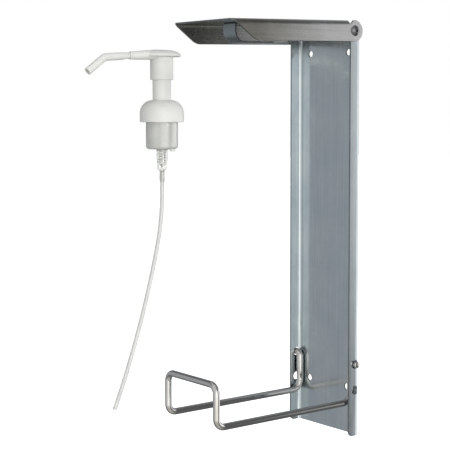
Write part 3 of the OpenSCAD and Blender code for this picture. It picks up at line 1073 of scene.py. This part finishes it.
def studio_world():
    """A white backdrop, seen directly or through clear plastic, and soft panels for reflections."""
    world = bpy.data.worlds.new("studio")
    bpy.context.scene.world = world
    world.use_nodes = True
    tree = world.node_tree
    nodes, links = tree.nodes, tree.links
    nodes.clear()
    direction = nodes.new("ShaderNodeTexCoord").outputs["Generated"]
    total = nodes.new("ShaderNodeCombineColor").outputs["Color"]
    for channel, level in zip(total.node.inputs, AMBIENT):
        channel.default_value = level
    for towards, inner, outer, colour in PANELS:
        dot = nodes.new("ShaderNodeVectorMath")
        dot.operation = "DOT_PRODUCT"
        dot.inputs[1].default_value = Vector(towards).normalized()
        links.new(direction, dot.inputs[0])
        fade = nodes.new("ShaderNodeMapRange")
        fade.interpolation_type = "SMOOTHSTEP"
        fade.inputs["From Min"].default_value = math.cos(math.radians(outer))
        fade.inputs["From Max"].default_value = math.cos(math.radians(inner))
        links.new(dot.outputs["Value"], fade.inputs["Value"])
        glow = nodes.new("ShaderNodeVectorMath")
        glow.operation = "SCALE"
        glow.inputs[0].default_value = colour
        links.new(fade.outputs["Result"], glow.inputs["Scale"])
        add = nodes.new("ShaderNodeVectorMath")
        add.operation = "ADD"
        links.new(total, add.inputs[0])
        links.new(glow.outputs["Vector"], add.inputs[1])
        total = add.outputs["Vector"]
    light = nodes.new("ShaderNodeBackground")
    links.new(total, light.inputs["Color"])
    backdrop = nodes.new("ShaderNodeBackground")
    backdrop.inputs["Color"].default_value = (1, 1, 1, 1)
    choose = nodes.new("ShaderNodeMixShader")
    ray = nodes.new("ShaderNodeLightPath")
    seen = nodes.new("ShaderNodeMath")
    seen.operation = "MAXIMUM"
    links.new(ray.outputs["Is Camera Ray"], seen.inputs[0])
    links.new(ray.outputs["Is Transmission Ray"], seen.inputs[1])
    links.new(seen.outputs["Value"], choose.inputs[0])
    links.new(light.outputs[0], choose.inputs[1])
    links.new(backdrop.outputs[0], choose.inputs[2])
    output = nodes.new("ShaderNodeOutputWorld")
    links.new(choose.outputs[0], output.inputs["Surface"])


def area_light(name, place, target, size, power):
    """A square soft white light that points at a target."""
    lamp = bpy.data.lights.new(name, "AREA")
    lamp.energy = power
    lamp.size = size
    holder = bpy.data.objects.new(name, lamp)
    holder.location = place
    holder.rotation_euler = (Vector(target) - Vector(place)).to_track_quat("-Z", "Y").to_euler()
    holder.visible_glossy = False
    bpy.context.scene.collection.objects.link(holder)


def lights():
    """A large key light from the right; the panels give the reflections."""
    area_light("key", (1.5, 0.3, 0.45), (-0.05, -0.08, 0.0), 0.9, 16)


def camera():
    """The viewpoint, with its turn around Z and its pitch in degrees."""
    turn, pitch_down = 51.582, 3.868
    lens = bpy.data.cameras.new("camera")
    lens.sensor_width = 36
    lens.lens = 101.04
    lens.shift_x = -0.0438
    lens.shift_y = -0.075
    lens.clip_start = 0.05
    holder = bpy.data.objects.new("camera", lens)
    holder.location = (0.87751, -0.79771, 0.10604)
    holder.rotation_euler = (math.radians(90 - pitch_down), 0, math.radians(turn))
    bpy.context.scene.collection.objects.link(holder)
    bpy.context.scene.camera = holder


# ---- The scene ---------------------------------------------------------------

LOOKS = make_looks()
CUT_LOOK = brushed_steel(
    "cut_edge", (0.19, 0.20, 0.21), (0.25, 0.26, 0.27), (1, 1, 1), 0.45, 1800, 8e-6)

# The CAD nodes that keep their own mesh, and the finish of each
NODE_SLOTS = {
    "pivot_washers": "washer_nylon",
    "pivot_nuts": "nut_steel",
    "mesh_cartridge": "soft_pe",
    "foam_meshes": "mesh_nylon",
    "stem": "white_pp",
    "outlet_ball": "ball_steel",
    "air_piston": "soft_pe",
    "air_valve_ring": "soft_pe",
    "liquid_piston": "soft_pe",
    "neck_gasket": "gasket_foam",
    "ball_retainer": "soft_pe",
    "inlet_ball": "ball_steel",
}
for node_name, slot_name in NODE_SLOTS.items():
    for material_slot in frame["nodes"][node_name].material_slots:
        material_slot.material = LOOKS[slot_name]

camera()
lights()
studio_world()
floor()
wall_bracket()
lever_arm()
pusher_strap()
pivot_screws()
wire_holder()
closure_collar()
actuator_head()
nozzle_extension()
air_cylinder()
dip_tube()
return_spring()
bpy.context.scene.view_settings.view_transform = "Standard"
